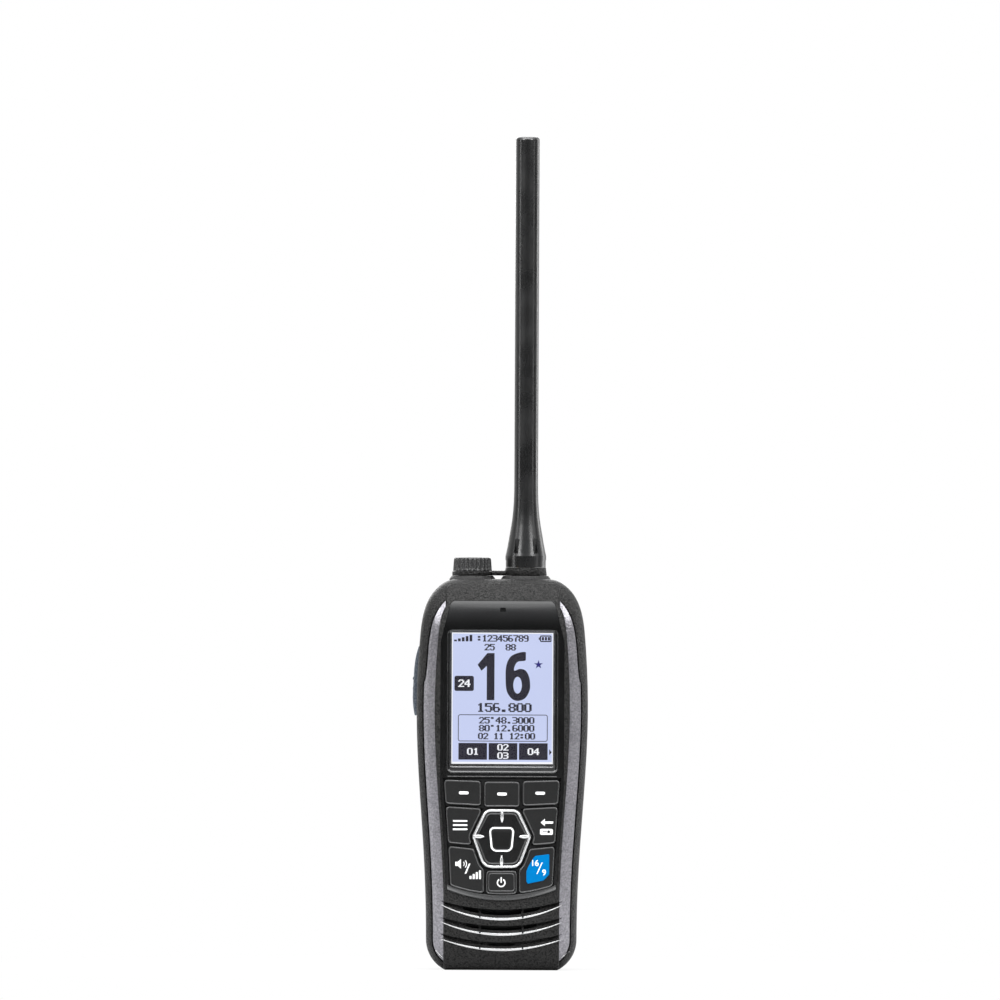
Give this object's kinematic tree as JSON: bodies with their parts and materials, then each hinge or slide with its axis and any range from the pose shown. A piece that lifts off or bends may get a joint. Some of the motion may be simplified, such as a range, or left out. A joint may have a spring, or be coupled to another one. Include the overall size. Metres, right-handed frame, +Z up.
{
  "type": "handheld vhf marine radio",
  "caption": "Handheld marine VHF radio with a lit display, a tilting direction pad, framed rubber keys, a louvred speaker, a screw-on whip antenna and a hinged battery pack with a belt clip.",
  "frame": {"origin": "on the stand face under the middle of the case, at the depth of the antenna-side parting plane's centre", "axes": "+Z up along the case and the antenna, -Y out of the display and keypad, +X to the right as the user faces the display"},
  "size_m": [0.0614, 0.0468, 0.2922],
  "materials": {
    "case_plastic": "fine textured, dark grey",
    "rear_rubber": "textured, near black",
    "gunmetal": "satin metallic paint on plastic trim",
    "gloss_black": "polished black",
    "bezel_grey": "satin bevel",
    "window_glass": "clear lens",
    "lcd": "lit display",
    "key_rubber": "soft black",
    "key_face": "smooth dark key tops",
    "blue_insert": "clear blue insert",
    "ring_metal": "brushed bright ring",
    "board": "solder-masked board",
    "steel": "stainless",
    "brass": "plated",
    "magnet": "sintered",
    "cone": "pressed cone",
    "antenna_rubber": "moulded over a spring core",
    "seal": "elastomer",
    "ptt_blue": "blue-grey soft key",
    "cell": "sleeved cell",
    "red_key": "bright red",
    "die_cast": "die cast"
  },
  "bodies": {
    "case": {"front_case": "case_plastic", "accent_strip_left": "gunmetal", "accent_strip_right": "gunmetal", "front_panel": "gloss_black", "display_bezel": "bezel_grey", "display_window": "window_glass", "lcd_module": "lcd", "keypad_mat": "key_rubber", "keypad_board": "board", "dome_switches": "steel", "speaker_frame": "steel", "speaker_cone": "cone", "speaker_magnet": "magnet", "speaker_membrane": "seal", "microphone": "steel", "gps_antenna": "die_cast", "main_board": "board", "shield_cans": "steel", "chassis": "die_cast", "case_seal": "seal", "rear_case": "rear_rubber", "case_screws": "steel", "antenna_socket": "brass", "accessory_jack": "brass", "ptt_switch": "key_face", "battery_contacts": "brass", "distress_cover_pin": "steel", "distress_switch": "key_face", "cap_tether": "seal"},
    "soft_key_left_body": {"soft_key_left": "key_face"},
    "soft_key_middle_body": {"soft_key_middle": "key_face"},
    "soft_key_right_body": {"soft_key_right": "key_face"},
    "menu_key_body": {"menu_key": "key_face"},
    "clear_key_body": {"clear_key": "key_face"},
    "volume_squelch_key_body": {"volume_squelch_key": "key_face"},
    "power_key_body": {"power_key": "key_face"},
    "channel_16_key_body": {"channel_16_key": "key_face", "channel_16_cap": "blue_insert"},
    "pad_gimbal": {"direction_boot": "key_rubber"},
    "pad": {"direction_pad": "key_face", "direction_ring": "ring_metal"},
    "enter_key_body": {"enter_key": "key_face"},
    "ptt": {"ptt_button": "ptt_blue"},
    "jack_cap_lift_body": {"jack_cap_seal": "seal"},
    "jack_cap_body": {"jack_cap": "antenna_rubber"},
    "antenna_lift_body": {"antenna_seal": "seal"},
    "antenna": {"antenna_whip": "antenna_rubber", "antenna_connector": "brass"},
    "cover": {"distress_cover": "rear_rubber"},
    "distress_key_body": {"distress_key": "red_key"},
    "pack": {"battery_case": "rear_rubber", "battery_lid": "gloss_black", "battery_cells": "cell", "battery_terminals": "brass", "belt_clip_base": "rear_rubber", "belt_clip_pin": "steel", "belt_clip_spring": "steel"},
    "battery_screw_body": {"battery_screw": "steel"},
    "clip": {"belt_clip": "rear_rubber"}
  },
  "joints": [
    {"name": "soft_key_left_press", "type": "slide", "parent": "case", "child": "soft_key_left_body", "axis": [0, 1, 0], "range_m": [0, 0.0005], "stiffness_N_per_m": 600, "springref_m": -0.0004},
    {"name": "soft_key_middle_press", "type": "slide", "parent": "case", "child": "soft_key_middle_body", "axis": [0, 1, 0], "range_m": [0, 0.0005], "stiffness_N_per_m": 600, "springref_m": -0.0004},
    {"name": "soft_key_right_press", "type": "slide", "parent": "case", "child": "soft_key_right_body", "axis": [0, 1, 0], "range_m": [0, 0.0005], "stiffness_N_per_m": 600, "springref_m": -0.0004},
    {"name": "menu_key_press", "type": "slide", "parent": "case", "child": "menu_key_body", "axis": [0, 1, 0], "range_m": [0, 0.0005], "stiffness_N_per_m": 600, "springref_m": -0.0004},
    {"name": "clear_key_press", "type": "slide", "parent": "case", "child": "clear_key_body", "axis": [0, 1, 0], "range_m": [0, 0.0005], "stiffness_N_per_m": 600, "springref_m": -0.0004},
    {"name": "volume_squelch_key_press", "type": "slide", "parent": "case", "child": "volume_squelch_key_body", "axis": [0, 1, 0], "range_m": [0, 0.0005], "stiffness_N_per_m": 600, "springref_m": -0.0004},
    {"name": "channel_16_key_press", "type": "slide", "parent": "case", "child": "channel_16_key_body", "axis": [0, 1, 0], "range_m": [0, 0.0005], "stiffness_N_per_m": 600, "springref_m": -0.0004},
    {"name": "power_key_press", "type": "slide", "parent": "case", "child": "power_key_body", "axis": [0, 1, 0], "range_m": [0, 0.0005], "stiffness_N_per_m": 600, "springref_m": -0.0004},
    {"name": "pad_up_down", "type": "hinge", "parent": "case", "child": "pad_gimbal", "pos_m": [0, -0.0162, 0.0465], "axis": [1, 0, 0], "range_deg": [-2, 2], "stiffness_Nm_per_rad": 0.05},
    {"name": "pad_left_right", "type": "hinge", "parent": "pad_gimbal", "child": "pad", "pos_m": [0, -0.0162, 0.0465], "axis": [0, 0, 1], "range_deg": [-2, 2], "stiffness_Nm_per_rad": 0.05},
    {"name": "enter_key_press", "type": "slide", "parent": "pad", "child": "enter_key_body", "axis": [0, 1, 0], "range_m": [0, 0.0005], "stiffness_N_per_m": 600, "springref_m": -0.0004},
    {"name": "ptt_press", "type": "slide", "parent": "case", "child": "ptt", "axis": [1, 0, 0], "range_m": [0, 0.001], "stiffness_N_per_m": 1500, "springref_m": -0.0003},
    {"name": "jack_cap_lift", "type": "slide", "parent": "case", "child": "jack_cap_lift_body", "axis": [0, 0, 1], "range_m": [0, 0.00305], "deforming": ["cap_tether"]},
    {"name": "jack_cap_turn", "type": "hinge", "parent": "jack_cap_lift_body", "child": "jack_cap_body", "pos_m": [-0.0107, 0.007, 0.138], "axis": [0, 0, 1], "range_deg": [0, 1080]},
    {"name": "antenna_lift", "type": "slide", "parent": "case", "child": "antenna_lift_body", "axis": [0, 0, 1], "range_m": [0, 0.0036]},
    {"name": "antenna_turn", "type": "hinge", "parent": "antenna_lift_body", "child": "antenna", "pos_m": [0.008, 0.007, 0.14], "axis": [0, 0, 1], "range_deg": [0, 1800]},
    {"name": "cover_hinge", "type": "hinge", "parent": "case", "child": "cover", "pos_m": [0, 0.0185, 0.1295], "axis": [1, 0, 0], "range_deg": [0, 110]},
    {"name": "distress_key_press", "type": "slide", "parent": "case", "child": "distress_key_body", "axis": [0, -1, 0], "range_m": [0, 0.0008], "stiffness_N_per_m": 800, "springref_m": -0.0004},
    {"name": "battery_swing", "type": "hinge", "parent": "case", "child": "pack", "pos_m": [0, 0.0172, 0.1165], "axis": [1, 0, 0], "range_deg": [0, 25]},
    {"name": "battery_screw_turn", "type": "hinge", "parent": "pack", "child": "battery_screw_body", "pos_m": [0, 0.0192, 0.0125], "axis": [0, 1, 0], "range_deg": [0, 720]},
    {"name": "clip_hinge", "type": "hinge", "parent": "pack", "child": "clip", "pos_m": [0, 0.0246, 0.102], "axis": [1, 0, 0], "range_deg": [0, 20], "stiffness_Nm_per_rad": 0.2, "springref_deg": -6.88}
  ],
  "couplings": [
    {"joint": "jack_cap_lift", "follows": "jack_cap_turn", "m_per_rad": 0.00015915},
    {"joint": "antenna_lift", "follows": "antenna_turn", "m_per_rad": 0.0001123}
  ]
}
